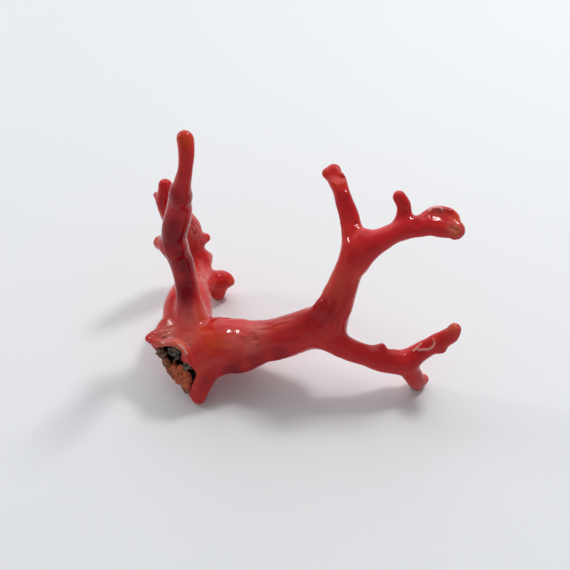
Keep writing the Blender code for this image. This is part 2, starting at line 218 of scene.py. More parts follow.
# Small dark pits: (place, radius, depth).
PITS = [
    ((9.4, -1.1, 28.6), 0.7, 0.18),
    ((-19.2, 12.7, 15.8), 0.9, 0.25),
    ((-19.0, 12.2, 14.0), 0.9, 0.25),
    ((24.4, -3.4, 28.9), 0.6, 0.20),
    ((23.7, -3.0, 29.0), 0.5, 0.15),
]

# Orange places, the coral's own on its tips, knobs and lip, and painted light on lit tops: (place,
# radius, strength).
ORANGE_AND_LIT_SPOTS = [
    ((-23.3, 0.5, 23.3), 2.0, 0.4),    # the knobs and tips
    ((-16.9, 11.8, 7.5), 2.2, 0.7),
    ((-12.6, 8.6, 3.8), 2.2, 0.7),
    ((-15.6, 0.9, 43.6), 2.6, 0.6),
    ((4.4, 8.0, 31.3), 2.0, 0.6),
    ((6.7, 5.4, 31.8), 2.5, 0.5),
    ((25.4, -10.6, 13.8), 1.6, 0.9),
    ((24.3, -10.8, 12.6), 1.6, 0.3),
    ((25.0, -1.2, 29.5), 2.2, 0.7),
    ((24.3, -3.4, 28.9), 1.6, 0.9),
    ((-15.2, -8.0, 11.8), 6.0, 0.6),   # the root above the hollow: orange, partly painted light on its lit top
    ((-13.6, -10.8, 11.2), 4.6, 0.8),
    ((-19.5, -11.5, 10.8), 3.0, 0.8),  # the hollow's lip
    ((-17.2, -14.3, 7.0), 4.0, 0.3),
    ((-23.8, -9.5, 8.8), 3.0, 0.7),
    ((6.0, -8.0, 21.0), 8.0, 0.5),     # painted light down the lit middle of the stem below the upper fork
    ((16.0, 0.0, 30.5), 3.5, 0.2),
    ((22.5, -11.5, 10.5), 5.0, 0.2),
    ((9.5, -3.5, 28.0), 6.0, 0.25),
    ((-19.0, 2.0, 11.0), 6.0, 0.4),    # painted light on the back branch's lit top
    ((0.0, -9.0, 13.0), 8.0, 0.3),
]

# Painted shade on shaded sides and undersides, and two brown pits: (place, radius, strength).
SHADE_AND_PIT_SPOTS = [
    ((-18.9, -3.6, 16.5), 6.0, 0.85),  # painted shade down the front of the upright branch
    ((-19.1, -2.6, 21.0), 8.0, 0.85),
    ((-19.1, -2.6, 27.5), 8.0, 0.85),
    ((-17.6, -1.8, 34.0), 8.0, 0.6),
    ((-15.3, -15.2, 5.5), 4.0, 0.5),   # painted shade on the spur in front
    ((-11.0, -13.4, 5.9), 3.8, 0.8),   # painted shade under the main branch
    ((-7.4, -12.4, 6.4), 3.6, 0.75),
    ((-3.2, -11.9, 7.9), 3.2, 0.6),
    ((4.3, -10.2, 16.0), 8.0, 0.3),    # painted shade in the main fork
    ((7.3, 1.5, 28.8), 5.0, 0.45),     # painted shade on the left of the upper left branch
    ((9.4, -1.1, 28.5), 0.8, 0.9),     # a brown pit
    ((23.9, -2.6, 29.0), 1.3, 0.4),
]

# ---- the hollow in the break and its crust ----
# In the break's plane a place is (along its long way, across it towards the underside).
HOLLOW_OUTLINE = [
    (4.3, 1.6), (4.3, 0.0), (4.15, -2.2), (3.85, -4.0), (3.4, -4.85), (2.5, -5.1), (1.75, -4.8),
    (1.05, -4.25), (0.4, -4.6), (-0.3, -5.7), (-1.15, -6.15), (-2.0, -6.05), (-2.7, -5.3),
    (-3.4, -4.0), (-4.0, -2.85), (-4.7, -1.5), (-5.2, -0.5), (-4.6, 0.7), (-3.0, 1.4), (-1.0, 1.8),
    (1.0, 1.9), (3.0, 1.9),
]
# A raised fold on the break, above the hollow and down its near side: (x, y, z, radius).
LIP_FOLD = [
    (-25.8, -8.2, 8.7, 0.75), (-24.9, -8.8, 9.0, 0.8), (-23.7, -9.5, 9.3, 0.7),
    (-22.5, -10.1, 9.5, 0.6), (-21.6, -10.4, 10.2, 0.6), (-20.8, -10.8, 10.8, 0.65),
    (-19.9, -11.3, 11.0, 0.7), (-18.9, -12.1, 10.8, 0.7), (-18.3, -12.9, 9.9, 0.65),
    (-17.8, -13.6, 9.1, 0.6), (-17.2, -14.1, 8.0, 0.6), (-17.1, -14.6, 6.7, 0.55),
    (-17.7, -15.0, 4.8, 0.5),
]
LIP_BLEND = 0.9
HOLLOW_FLOOR = 2.6     # depth below the break
HOLLOW_TAPER = 0.3     # how much its walls close in per mm of depth
HOLLOW_FAR_SIDE = 1.7  # its far wall starts this far across and leans in under the crust
HOLLOW_FAR_LEAN = 1.1
HOLLOW_FAR_BLEND = 0.4
HOLLOW_FLOOR_BLEND = 0.8
HOLLOW_BLEND = 0.35    # rounding of its lip
HOLLOW_HALF_BOX = 9.0  # how far along and across to look for it
HOLLOW_DEEPEST = 4.5   # and how deep
CURVE_STEPS = 4        # points on its outline from one corner to the next
# Painted shade on the hollow's wall, darker with depth:
HOLLOW_SHADE_START = 0.45     # depth where its wall begins to darken
HOLLOW_SHADE_FADE = 0.6       # and how much deeper it is quite dark
HOLLOW_SHADE_REACH = 0.4      # how far off the hollow's wall the painted shade can lie
CRUST_GAP = 0.06       # between the crust and the hollow's wall
# Lumps of the crust: (along, across, height above the break, half width, half height, kind),
# where the kind goes from 0, grey, to 1, orange.
CRUST_LUMPS = [
    (-1.5, -1.9, -0.45, 1.9, 0.55, 1.0),
    (-3.2, -1.5, -0.45, 1.3, 0.5, 1.0),
    (0.0, -1.0, -0.4, 1.1, 0.5, 1.0),
    (-2.3, -0.1, -0.35, 1.5, 0.5, 1.0),
    (-0.4, 0.5, -0.35, 1.3, 0.5, 0.8),
    (-4.3, -0.5, -0.45, 1.0, 0.5, 0.3),
    (1.5, 0.6, -0.4, 1.3, 0.55, 0.5),
    (3.0, 0.7, -0.45, 1.3, 0.55, 0.2),
    (4.0, 0.6, -0.55, 0.9, 0.5, 0.0),
    (2.9, -2.0, -0.95, 0.9, 0.45, 0.0),
    (2.6, -3.6, -1.0, 0.9, 0.5, 0.0),
    (1.5, -2.4, -1.2, 0.8, 0.4, 0.0),
    (-0.3, -3.9, -1.1, 0.8, 0.45, 0.0),
    (-0.8, -4.7, -1.0, 0.6, 0.45, 0.0),
]
CRUST_BOX = ((-5.8, -6.9, -HOLLOW_FLOOR - 0.4), (5.2, 2.4, 1.2))  # along, across and out
CRUST_FLOOR = 1.75     # depth of the crust's surface between the lumps
CRUST_OVERHANG = 0.10  # how far the crust may stand out of the coral's side
CRUST_EDGE_BLEND = 0.4
CRUST_EDGE_FRAY = 0.2  # share of the roughness that frays its edge there
CRUST_LUMP_BLEND = 0.3
CRUST_ROUGH = ((0.9, 0.15), (0.42, 0.10), (0.2, 0.05))  # spacing and height of its roughness
KIND_SPACING = 0.7     # spacing of the bends in the border between grey and orange
KIND_WANDER = 0.3      # and how far they go
# Holes in the crust: (along, across, radius).
CRUST_HOLES = [
    (1.9, -0.9, 0.35), (1.0, -0.9, 0.5), (0.6, -2.0, 0.45), (0.5, -0.5, 0.15), (-1.1, -1.5, 0.2),
    (-1.3, -2.5, 0.22), (-1.2, -2.0, 0.15), (3.6, -1.1, 0.26), (-0.5, -1.1, 0.12),
    (-2.4, -1.6, 0.13), (2.1, -3.0, 0.22),
]
HOLE_DEPTH = 1.9
HOLE_BLEND = 0.08
HOLE_FRAY = 0.5        # share of the roughness that frays a hole

# ---- relief of the skin, mm ----
# Noise: spacing and height.
SWELLS = (3.0, 0.13)
DENTS = (1.3, 0.045)
# Lines along the limbs: spacing round the limb, length along it, and height.
COARSE_LINES = (0.9, 9.0, 0.030)
FINE_LINES = (0.42, 6.0, 0.014)
WRINKLES = (0.45, 1.6, 0.16)    # where the skin is worn
GRAIN_SHARE = 0.6  # share of these lines in the colour's grain
LINE_FADE = 0.35   # distance over which a limb's lines give way to the next one's
LINE_SHIFT = 7.3   # moves the noise on from one limb to the next
CAVITY_ROUNDS = 4  # rounds that spread the skin's hollowness out
# Worn, wrinkled places, also painted with a pale sheen: (place, radius, strength).
WORN_AND_SHEEN_SPOTS = [
    ((-10.6, -10.2, 10.6), 3.6, 0.8),  # the root's right end
    ((-8.3, -10.4, 9.9), 3.4, 0.9),
    ((-7.0, -8.5, 11.0), 4.5, 0.7),
    ((-2.0, -7.5, 13.0), 4.5, 0.4),
    ((-18.5, -7.0, 12.8), 4.0, 0.8),   # below the upright branch
    ((-18.9, -10.3, 11.3), 3.8, 0.7),  # above the hollow
    ((-22.2, -9.0, 10.8), 4.4, 1.0),
    ((-16.3, -13.6, 9.5), 3.0, 0.3),
    ((-20.0, 4.0, 10.0), 8.0, 0.8),
    ((22.0, 0.2, 30.2), 2.6, 0.5),     # the paddle's top and end
    ((24.3, -3.2, 28.9), 2.2, 0.7),
    ((-20.0, 12.5, 14.0), 6.0, 0.8),   # the back branch's end
    ((25.0, -10.5, 13.5), 2.5, 0.4),
    ((20.6, -13.0, 2.4), 3.5, 0.7),    # the foot
]
# Fine raised ridges, with painted glints along their crests: the places each runs through.
RIDGES = [
    [(-23.2, -9.95, 9.95), (-22.5, -10.25, 10.1), (-21.9, -10.5, 10.45)],
    [(-20.1, -11.45, 11.6), (-19.4, -12.0, 11.6), (-18.9, -12.45, 11.35), (-18.5, -12.95, 10.8)],
    [(19.2, -11.7, 8.9), (19.8, -11.35, 9.25), (20.5, -10.9, 9.7)],
    [(20.0, -11.8, 9.25), (20.7, -11.9, 9.55), (21.5, -12.15, 9.9), (22.1, -12.15, 10.6),
     (22.4, -11.9, 11.2), (22.3, -11.3, 11.35)],
    [(20.5, -0.3, 30.1), (21.0, 0.1, 30.2), (21.5, 0.15, 30.35), (22.25, 0.1, 30.4),
     (22.6, -0.35, 30.3), (22.7, -0.85, 30.0)],
]
RIDGE_HEIGHT = 0.18
RIDGE_WIDTH = 0.26  # from its crest to where it fades

# ---- camera and light ----
CAMERA_PLACE = (0.342, -77.155, 101.602)
CAMERA_DOWN = math.radians(49.0)  # below level
CAMERA_LEFT = math.radians(1.914)  # from +Y towards -X
CAMERA_ROLL = math.radians(-2.392)
CAMERA_LENS = 42.41
CAMERA_SENSOR = 36.0
CAMERA_CLIP = 5.0           # nearest that it sees
FLOOR_HALF = 1500.0         # half the floor's side
FLOOR_COLOUR = (0.78, 0.79, 0.80, 1.0)
ROOM_COLOUR = (0.98, 1.0, 1.02, 1.0)
ROOM_LIGHT = 0.28           # strength of the dim part of the room
WALL_LIGHT = 0.78           # of its pale walls, low down all round
WALL_TOP = (0.12, 0.35)     # how far up they start to fade, and end
WINDOW_LIGHT = 1.75         # and of the bright part, towards the window
WINDOW_WAY = (-0.05, 0.78, 0.62)
WINDOW_EDGE = (0.70, 0.90)  # how close to its way it starts to brighten, and ends
LAMP_DISTANCE = 420.0
LAMP_WIDTH = 60.0
# Lamps: (direction from the coral, power in W).
LAMPS = {
    "right lamp": ((0.42, 0.42, 0.80), 0.66),
    "left lamp": ((-0.83, 0.35, 0.43), 0.30),
}


# ==== fields on a grid ====
class Field:
    """Signed distances on a regular grid of cells: negative inside."""

    def __init__(self, low, high, cell):
        self.cell = cell
        self.low = np.asarray(low, float)
        self.size = np.ceil((np.asarray(high) - self.low) / cell).astype(int) + 1
        self.values = np.full(self.size, FAR, np.float32)

    def window(self, low, high):
        """The slices that hold a box, and the X, Y and Z of the grid points in them."""
        first = np.clip(np.floor((low - self.low) / self.cell).astype(int), 0, self.size - 1)
        last = np.clip(np.ceil((high - self.low) / self.cell).astype(int) + 1, 1, self.size)
        slices = tuple(slice(a, b) for a, b in zip(first, last))
        places = [(start + self.cell * step).astype(np.float32)
                  for start, step in zip(self.low, np.ogrid[slices])]
        return slices, places


def smooth_min(a, b, width):
    """The smaller of two distances, with a fillet of that width between them."""
    overlap = np.maximum(width - np.abs(a - b), 0.0) / width
    return np.minimum(a, b) - width / 6.0 * overlap ** 3


def smooth_max(a, b, width):
    """The larger of two distances, with a fillet of that width between them."""
    return -smooth_min(-a, -b, width)


def curve_through(before, start, end, after, t):
    """Points on a Catmull-Rom curve, at shares t of the way from start to end."""
    return 0.5 * (2 * start + (end - before) * t
                  + (2 * before - 5 * start + 4 * end - after) * t ** 2
                  + (3 * start - before - 3 * end + after) * t ** 3)


def smooth_route(stations):
    """Points on a Catmull-Rom curve through the stations, each with its radius."""
    rows = np.asarray(stations, float)
    rows = np.vstack([2 * rows[0] - rows[1], rows, 2 * rows[-1] - rows[-2]])
    route = []
    for before, start, end, after in zip(rows, rows[1:], rows[2:], rows[3:]):
        count = max(2, math.ceil(np.linalg.norm(end[:3] - start[:3]) / ROUTE_STEP))
        t = np.arange(count)[:, None] / count
        route.append(curve_through(before, start, end, after, t))
    return np.vstack(route + [rows[-2][None]])


def distance_to_stretch(x, y, z, start, end):
    """Distance from each place to a round, tapering stretch between two stations."""
    way = (end[:3] - start[:3]).astype(np.float32)
    dx, dy, dz = x - start[0], y - start[1], z - start[2]
    t = np.clip((dx * way[0] + dy * way[1] + dz * way[2]) / max(way @ way, TINY), 0.0, 1.0)
    away = (dx - t * way[0]) ** 2 + (dy - t * way[1]) ** 2 + (dz - t * way[2]) ** 2
    return np.sqrt(away) - (start[3] + t * (end[3] - start[3]))


def distance_to_route(x, y, z, route):
    """Distance from each place to the nearest stretch of a route."""
    return functools.reduce(np.minimum, (distance_to_stretch(x, y, z, start, end)
                                         for start, end in zip(route, route[1:])))


def route_box(route, margin):
    """Lowest and highest corners of a route with its radii and a margin round it."""
    spread = route[:, 3:] + margin
    return (route[:, :3] - spread).min(0), (route[:, :3] + spread).max(0)


def measure(field, route, scratch):
    """Put the distances to a route on the scratch grid. Returns the slices that hold them."""
    for start, end in zip(route, route[1:]):
        near, places = field.window(*route_box(np.array([start, end]), FIELD_REACH))
        np.minimum(scratch[near], distance_to_stretch(*places, start, end), out=scratch[near])
    return field.window(*route_box(route, FIELD_REACH))[0]


def add_limb(field, route, blend, scratch):
    """Fuse one limb into the field."""
    near = measure(field, route, scratch)
    field.values[near] = smooth_min(field.values[near], scratch[near], blend)
    scratch[near] = FAR


def carve(field, route, scratch):
    """Carve one rounded stretch out of the field."""
    near = measure(field, route, scratch)
    field.values[near] = smooth_max(field.values[near], -scratch[near], CARVING_BLEND)
    scratch[near] = FAR


def break_axes():
    """The break's long way, the way across it, and the way out of it."""
    out = np.array(BREAK_NORMAL) / np.linalg.norm(BREAK_NORMAL)
    along = np.array(BREAK_LONG_WAY) - np.dot(BREAK_LONG_WAY, out) * out
    along /= np.linalg.norm(along)
    return along, np.cross(out, along), out


def in_break(x, y, z):
    """Places measured along the break, across it, and out of it."""
    dx, dy, dz = x - BREAK_POINT[0], y - BREAK_POINT[1], z - BREAK_POINT[2]
    return [dx * axis[0] + dy * axis[1] + dz * axis[2] for axis in break_axes()]


def closed_curve(corners):
    """A round closed curve through the corners of an outline."""
    turned = [np.roll(np.asarray(corners, float), shift, 0) for shift in (1, 0, -1, -2)]
    t = np.arange(CURVE_STEPS)[:, None, None] / CURVE_STEPS
    return curve_through(*turned, t).transpose(1, 0, 2).reshape(-1, 2)


def distance_to_outline(u, v, outline):
    """Distance in a plane from each place to a closed outline, negative inside it."""
    nearest = np.full(u.shape, FAR, np.float32)
    inside = np.zeros(u.shape, bool)
    for (ua, va), (ub, vb) in zip(outline, np.roll(outline, -1, 0)):
        du, dv = ub - ua, vb - va
        t = np.clip(((u - ua) * du + (v - va) * dv) / (du * du + dv * dv), 0.0, 1.0)
        nearest = np.minimum(nearest, np.hypot(u - ua - t * du, v - va - t * dv))
        if dv:
            inside ^= ((va > v) != (vb > v)) & (u < ua + (v - va) * du / dv)
    return np.where(inside, -nearest, nearest)


def hollow_distance(along, across, out):
    """Distance to the hollow in the break, negative in it. It is open towards the outside."""
    walls = distance_to_outline(along, across, closed_curve(HOLLOW_OUTLINE))
    depth = np.maximum(-out, 0.0)
    far_wall = across - HOLLOW_FAR_SIDE + HOLLOW_FAR_LEAN * depth
    walls = smooth_max(walls + HOLLOW_TAPER * depth, far_wall, HOLLOW_FAR_BLEND)
    return smooth_max(walls, -(out + HOLLOW_FLOOR), HOLLOW_FLOOR_BLEND)


def break_root(field, scratch):
    """Cut the root end off at the break and sink the hollow into it."""
    near, places = field.window(*np.array(BREAK_BOX))
    along, across, out = in_break(*places)
    field.values[near] = smooth_max(field.values[near], out, BREAK_BLEND)
    add_limb(field, smooth_route(LIP_FOLD), LIP_BLEND, scratch)
    cut = field.values[near]
    close = (np.maximum(np.abs(along), np.abs(across)) < HOLLOW_HALF_BOX) & (out > -HOLLOW_DEEPEST)
    hollow = np.full(cut.shape, FAR, np.float32)
    hollow[close] = hollow_distance(along[close], across[close], out[close])
    field.values[near] = smooth_max(cut, -hollow, HOLLOW_BLEND)


def coral_routes():
    """Each limb and knob as a route, with the width of its fillet."""
    limbs = [(smooth_route(rows), LIMB_BLEND) for rows in LIMBS.values()]
    knobs = [(smooth_route(rows), KNOB_BLEND) for rows in KNOBS.values()]
    return limbs + knobs


def coral_field(routes):
    """The whole coral: limbs and knobs fused, broken at the root and flat on the ground."""
    low, high = route_box(np.vstack([route for route, _ in routes]), GRID_MARGIN)
    field = Field(low, high, SKIN_CELL)
    scratch = np.full_like(field.values, FAR)
    for route, blend in routes:
        add_limb(field, route, blend, scratch)
    for rows in CARVINGS.values():
        carve(field, smooth_route(rows), scratch)
    break_root(field, scratch)
    height = field.window(low, high)[1][2]
    field.values = smooth_max(field.values, -height, GROUND_BLEND)
    return field


# ==== meshing ====
def corner_values(values):
    """The eight corner values of every cell of a grid."""
    ends = (slice(None, -1), slice(1, None))
    return {corner: values[tuple(ends[side] for side in corner)]
            for corner in itertools.product((0, 1), repeat=3)}


def net_points(field):
    """One point in each cell that the zero level crosses, and the cells' point numbers."""
    inside = corner_values(field.values < 0)
    count = sum(corner.astype(np.int8) for corner in inside.values())
    crossed = (count > 0) & (count < 8)
    cells = np.argwhere(crossed)
    corners = {key: values[crossed] for key, values in corner_values(field.values).items()}
    total = np.zeros((len(cells), 3))
    hits = np.zeros(len(cells))
    for a, b in itertools.combinations(corners, 2):
        if sum(abs(i - j) for i, j in zip(a, b)) != 1:
            continue
        hit = (corners[a] < 0) != (corners[b] < 0)
        t = np.where(hit, corners[a] / np.where(hit, corners[a] - corners[b], 1.0), 0.0)
        place = np.array(a) + t[:, None] * (np.array(b) - np.array(a))
        total += np.where(hit[:, None], place, 0.0)
        hits += hit
    numbers = np.full(crossed.shape, -1)
    numbers[crossed] = np.arange(len(cells))
    return field.low + field.cell * (cells + total / hits[:, None]), numbers


def net_faces(field, numbers):
    """A quad across each grid edge that the zero level crosses, facing outwards."""
    inside = field.values < 0
    quads = []
    for axis in range(3):
        edges = np.argwhere(np.diff(inside, axis=axis))
        side, up = (axis + 1) % 3, (axis + 2) % 3
        ring = []
        for back_side, back_up in ((1, 1), (0, 1), (0, 0), (1, 0)):
            cell = edges.copy()
            cell[:, side] -= back_side
            cell[:, up] -= back_up
            ring.append(numbers[tuple(cell.T)])
        quad = np.stack(ring, 1)
        turned = ~inside[tuple(edges.T)]
        quad[turned] = quad[turned][:, ::-1]
        quads.append(quad)
    return np.vstack(quads)


def edges_of(quads):
    """Each edge once, as a pair of point numbers."""
    pairs = [quads[:, [i, (i + 1) % 4]] for i in range(4)]
    return np.unique(np.sort(np.vstack(pairs), 1), axis=0)


def neighbour_mean(values, edges):
    """The mean over each point's neighbours of a number or a row of numbers."""
    count = len(values)
    ends, others = np.vstack([edges, edges[:, ::-1]]).T
    degree = np.bincount(ends, minlength=count)
    columns = values.reshape(count, -1).T
    sums = [np.bincount(ends, column[others], minlength=count) for column in columns]
    return (np.array(sums) / degree).T.reshape(values.shape)


def without_crumbs(points, quads):
    """The largest connected part of a mesh, without the crumbs that noise leaves beside it."""
    ends, others = edges_of(quads).T
    label = np.arange(len(points))
    settled = False
    while not settled:
        least = label.copy()
        np.minimum.at(least, ends, label[others])
        np.minimum.at(least, others, label[ends])
        least = least[least]
        settled = (least == label).all()
        label = least
    kept = label == np.bincount(label).argmax()
    numbers = np.cumsum(kept) - 1
    return points[kept], numbers[quads[kept[quads[:, 0]]]]


def relax(points, edges, rounds):
    """Even out the steps of the grid without shrinking thin limbs (Taubin smoothing)."""
    for _ in range(rounds):
        for share in SMOOTHING:
            points = points + share * (neighbour_mean(points, edges) - points)
    return points


def normals_of(points, quads):
    """The outward direction at each point."""
    across = points[quads[:, 2]] - points[quads[:, 0]]
    back = points[quads[:, 3]] - points[quads[:, 1]]
    facing = np.cross(across, back)
    total = np.zeros_like(points)
    for corner in quads.T:
        np.add.at(total, corner, facing)
    return total / np.linalg.norm(total, axis=1)[:, None]


# ==== relief ====
LATTICE = 32          # numbers along each side of the noise's table, before it repeats
# Turns the noise's lattice away from the axes, so that its grid doesn't show.
TURN = np.array(Matrix.Rotation(0.9, 3, Vector((1.0, 2.0, 3.0))))
ASIDE = (0.3, 0.5, 0.8)  # a way that no limb starts along


def lattice_noise(places, spacing, seed):
    """Smooth noise from about -1 to 1, with lumps about a spacing wide."""
    table = np.random.default_rng(seed).uniform(-1.0, 1.0, (LATTICE, LATTICE, LATTICE))
    scaled = places @ TURN / spacing
    corner = np.floor(scaled).astype(int)
    t = scaled - corner
    t = t * t * t * (t * (6.0 * t - 15.0) + 10.0)
    total = np.zeros(len(places))
    for step in itertools.product((0, 1), repeat=3):
        weight = np.where(step, t, 1.0 - t).prod(1)
        total += weight * table[tuple(((corner + step) % LATTICE).T)]
    return total


def transported_frames(route):
    """The direction of a route at each point, and a side way that doesn't twist round it."""
    ways = np.gradient(route[:, :3], axis=0)
    ways /= np.linalg.norm(ways, axis=1)[:, None]
    side = np.cross(ways[0], ASIDE)
    sides = []
    for way in ways:
        side = side - side @ way * way
        side = side / np.linalg.norm(side)
        sides.append(side)
    return ways, np.array(sides)


def along_route(points, route):
    """For each point: distance to the limb, length along it, and the way out round it."""
    steps = np.linalg.norm(np.diff(route[:, :3], axis=0), axis=1)
    lengths = np.concatenate([[0.0], np.cumsum(steps)])
    frames = np.column_stack([lengths, *transported_frames(route)])
    found = np.zeros((len(points), 4))
    found[:, 0] = FAR
    for start, end, frame, next_frame in zip(route, route[1:], frames, frames[1:]):
        way = end[:3] - start[:3]
        offset = points - start[:3]
        t = np.clip(offset @ way / (way @ way), 0.0, 1.0)[:, None]
        away = offset - t * way
        reach = np.linalg.norm(away, axis=1)
        distance = reach - (start[3] + t[:, 0] * (end[3] - start[3]))
        here = frame + t * (next_frame - frame)
        ahead, side = here[:, 1:4], here[:, 4:]
        out = [(away * axis).sum(1) / (reach + TINY) for axis in (side, np.cross(ahead, side))]
        closer = distance < found[:, 0]
        found[closer] = np.column_stack([distance, here[:, 0], *out])[closer]
    return found[:, 0], found[:, 1], found[:, 2:]


def growth_lines(points, routes, spacing, stretch, seed):
    """Noise drawn out along the limbs into lines, from about -1 to 1."""
    total = np.zeros(len(points))
    power = np.zeros(len(points))
    for number, (route, _) in enumerate(routes):
        low, high = route_box(route, FIELD_REACH)
        near = ((points > low) & (points < high)).all(1)
        distance, length, out = along_route(points[near], route)
        turns = route[:, 3].mean() / spacing
        places = np.column_stack([out * turns, length / stretch + LINE_SHIFT * number])
        weight = np.exp(-np.maximum(distance, 0.0) / LINE_FADE)
        total[near] += weight * lattice_noise(places, 1.0, seed)
        power[near] += weight ** 2
    return total / np.sqrt(np.maximum(power, TINY))


def nearness(points, place, radius):
    """1 at a place, falling smoothly to 0 at a radius round it."""
    share = np.clip(1.0 - np.linalg.norm(points - np.array(place), axis=1) / radius, 0.0, 1.0)
    return share * share * (3.0 - 2.0 * share)


def spots(points, rows):
    """How much of a colour each point has from spots that fade outwards."""
    return np.max([strength * nearness(points, place, radius)
                   for place, radius, strength in rows], axis=0)


def ridge_heights(points):
    """How far the ridges stand out at each point."""
    height = np.zeros(len(points))
    for places in RIDGES:
        line = np.column_stack([places, np.zeros(len(places))])
        nearest = distance_to_route(*points.T, line)
        height += RIDGE_HEIGHT * np.exp(-(nearest / RIDGE_WIDTH) ** 2)
    return height


def relief(points, routes):
    """How far the skin stands out at each point, and the growth lines on their own."""
    swells = lattice_noise(points, SWELLS[0], seed=11)
    dents = lattice_noise(points, DENTS[0], seed=12)
    coarse = growth_lines(points, routes, *COARSE_LINES[:2], seed=13)
    fine = growth_lines(points, routes, *FINE_LINES[:2], seed=14)
    wrinkles = growth_lines(points, routes, *WRINKLES[:2], seed=15)
    height = SWELLS[1] * swells + DENTS[1] * dents
    height += COARSE_LINES[2] * coarse + FINE_LINES[2] * fine
    height += WRINKLES[2] * spots(points, WORN_AND_SHEEN_SPOTS) * wrinkles + ridge_heights(points)
    for place, radius, depth in PITS:
        height -= depth * nearness(points, place, radius)
    return height, GRAIN_SHARE * (coarse + fine)


def hollow_shade(points):
    """Painted shade on the hollow's wall: 1 in its depth, fading to 0 towards its lip and
    everywhere else.
    """
    along, across, out = in_break(*points.T)
    inside = (hollow_distance(along, across, out) < HOLLOW_SHADE_REACH) & (out < 0.0)
    return np.where(inside, np.clip((-out - HOLLOW_SHADE_START) / HOLLOW_SHADE_FADE, 0.0, 1.0), 0.0)


def cavity(points, normals, edges):
    """How hollow the skin is at each point: above 0 in a groove, below 0 on a ridge."""
    bend = ((neighbour_mean(points, edges) - points) * normals).sum(1)
    for _ in range(CAVITY_ROUNDS):
        bend = 0.5 * bend + 0.5 * neighbour_mean(bend, edges)
    return bend / SKIN_CELL ** 2


# ==== pieces ====
def mesh_from(name, points, faces, attributes):
    """A Blender mesh in metres, with each attribute as a number per point."""
    mesh = bpy.data.meshes.new(name)
    mesh.from_pydata(points * MM, [], faces.tolist())
    for label, numbers in attributes.items():
        layer = mesh.attributes.new(label, "FLOAT", "POINT")
        layer.data.foreach_set("value", numbers.astype(np.float32))
    return mesh


def add_object(name, data):
    """A new object in the scene."""
    made = bpy.data.objects.new(name, data)
    bpy.context.collection.objects.link(made)
    return made


def coral_mesh():
    """The whole skin as one closed mesh with its relief."""
    routes = coral_routes()
    field = coral_field(routes)
    points, numbers = net_points(field)
    quads = net_faces(field, numbers)
    edges = edges_of(quads)
    points = relax(points, edges, SKIN_ROUNDS)
    height, grain = relief(points, routes)
    points = points + height[:, None] * normals_of(points, quads)
    points[:, 2] = np.maximum(points[:, 2], 0.0)
    hollow = cavity(points, normals_of(points, quads), edges)
    # Masks for the colours; several of them carry painted light, shade, sheen and glints.
    looks = {"grain": grain, "hollow": hollow, "orange_and_lit": spots(points, ORANGE_AND_LIT_SPOTS),
             "shade_and_pits": spots(points, SHADE_AND_PIT_SPOTS), "worn_and_sheen": spots(points, WORN_AND_SHEEN_SPOTS),
             "glint_line": ridge_heights(points) / RIDGE_HEIGHT, "hollow_shade": hollow_shade(points)}
    return mesh_from("coral", points, quads, looks)


def closed_loops(edges):
    """The edges that go right round a limb, without the loose ends of a cut."""
    loops = set(edges)
    ends = True
    while ends:
        ends = {edge for edge in loops
                if any(len(loops.intersection(vert.link_edges)) == 1 for vert in edge.verts)}
        loops -= ends
    return loops


def cut_at_forks(bm):
    """Cut the skin along each fork's plane and open it there."""
    normals = bm.verts.layers.float_vector.new("skin_normal")
    cuts = set()
    for point, direction, reach in FORKS:
        centre = Vector(point) * MM
        near = {face for face in bm.faces
                if (face.calc_center_median() - centre).length < reach * MM}
        parts = near | {vert for face in near for vert in face.verts}
        parts |= {edge for face in near for edge in face.edges}
        made = bmesh.ops.bisect_plane(bm, geom=list(parts), dist=CUT_SNAP * MM,
                                      plane_co=centre, plane_no=Vector(direction))
        line = [item for item in made["geom_cut"] if isinstance(item, bmesh.types.BMEdge)]
        cuts |= closed_loops(line)
    bm.normal_update()
    for vert in bm.verts:
        vert[normals] = vert.normal
    bmesh.ops.split_edges(bm, edges=list(cuts))


def close_cuts(bm):
    """Close every open loop of the skin with a flat face."""
    for face in bm.faces:
        face.smooth = True
    rims = [edge for edge in bm.edges if edge.is_boundary]
    caps = bmesh.ops.holes_fill(bm, edges=rims, sides=0)["faces"]
    for face in caps:
        face.smooth = False
    bmesh.ops.triangulate(bm, faces=caps)


def keep_skin_normals(mesh):
    """Shade the skin as one surface across the cuts, and the cut faces flat."""
    kept = mesh.attributes["skin_normal"]
    corners = [kept.data[mesh.loops[loop].vertex_index].vector if face.use_smooth else face.normal
               for face in mesh.polygons for loop in face.loop_indices]
    mesh.normals_split_custom_set(corners)
    mesh.attributes.remove(kept)


def coral_pieces():
    """The skin parted at the forks: one closed object for each stretch of coral."""
    mesh = coral_mesh()
    bm = bmesh.new()
    bm.from_mesh(mesh)
    cut_at_forks(bm)
    close_cuts(bm)
    bm.to_mesh(mesh)
    bm.free()
    whole = add_object("coral", mesh)
    bpy.ops.object.select_all(action="DESELECT")
    bpy.context.view_layer.objects.active = whole
    whole.select_set(True)
    bpy.ops.mesh.separate(type="LOOSE")
    pieces = list(bpy.context.selected_objects)
    bpy.ops.object.select_all(action="DESELECT")
    return pieces


def name_pieces(pieces, material):
    """Give each stretch of coral its name and let it stand for its CAD node."""
    places = {piece: np.array([vert.co for vert in piece.data.vertices]) for piece in pieces}
    for node, inside in PARTS.items():
        heart = np.array(inside) * MM
        piece = min(places, key=lambda each: np.linalg.norm(places[each] - heart, axis=1).min())
        del places[piece]
        piece.name = "coral_" + node
        piece.data.name = piece.name
        keep_skin_normals(piece.data)
        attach(piece, "root")
        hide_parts(node)
        piece.data.materials.append(material)


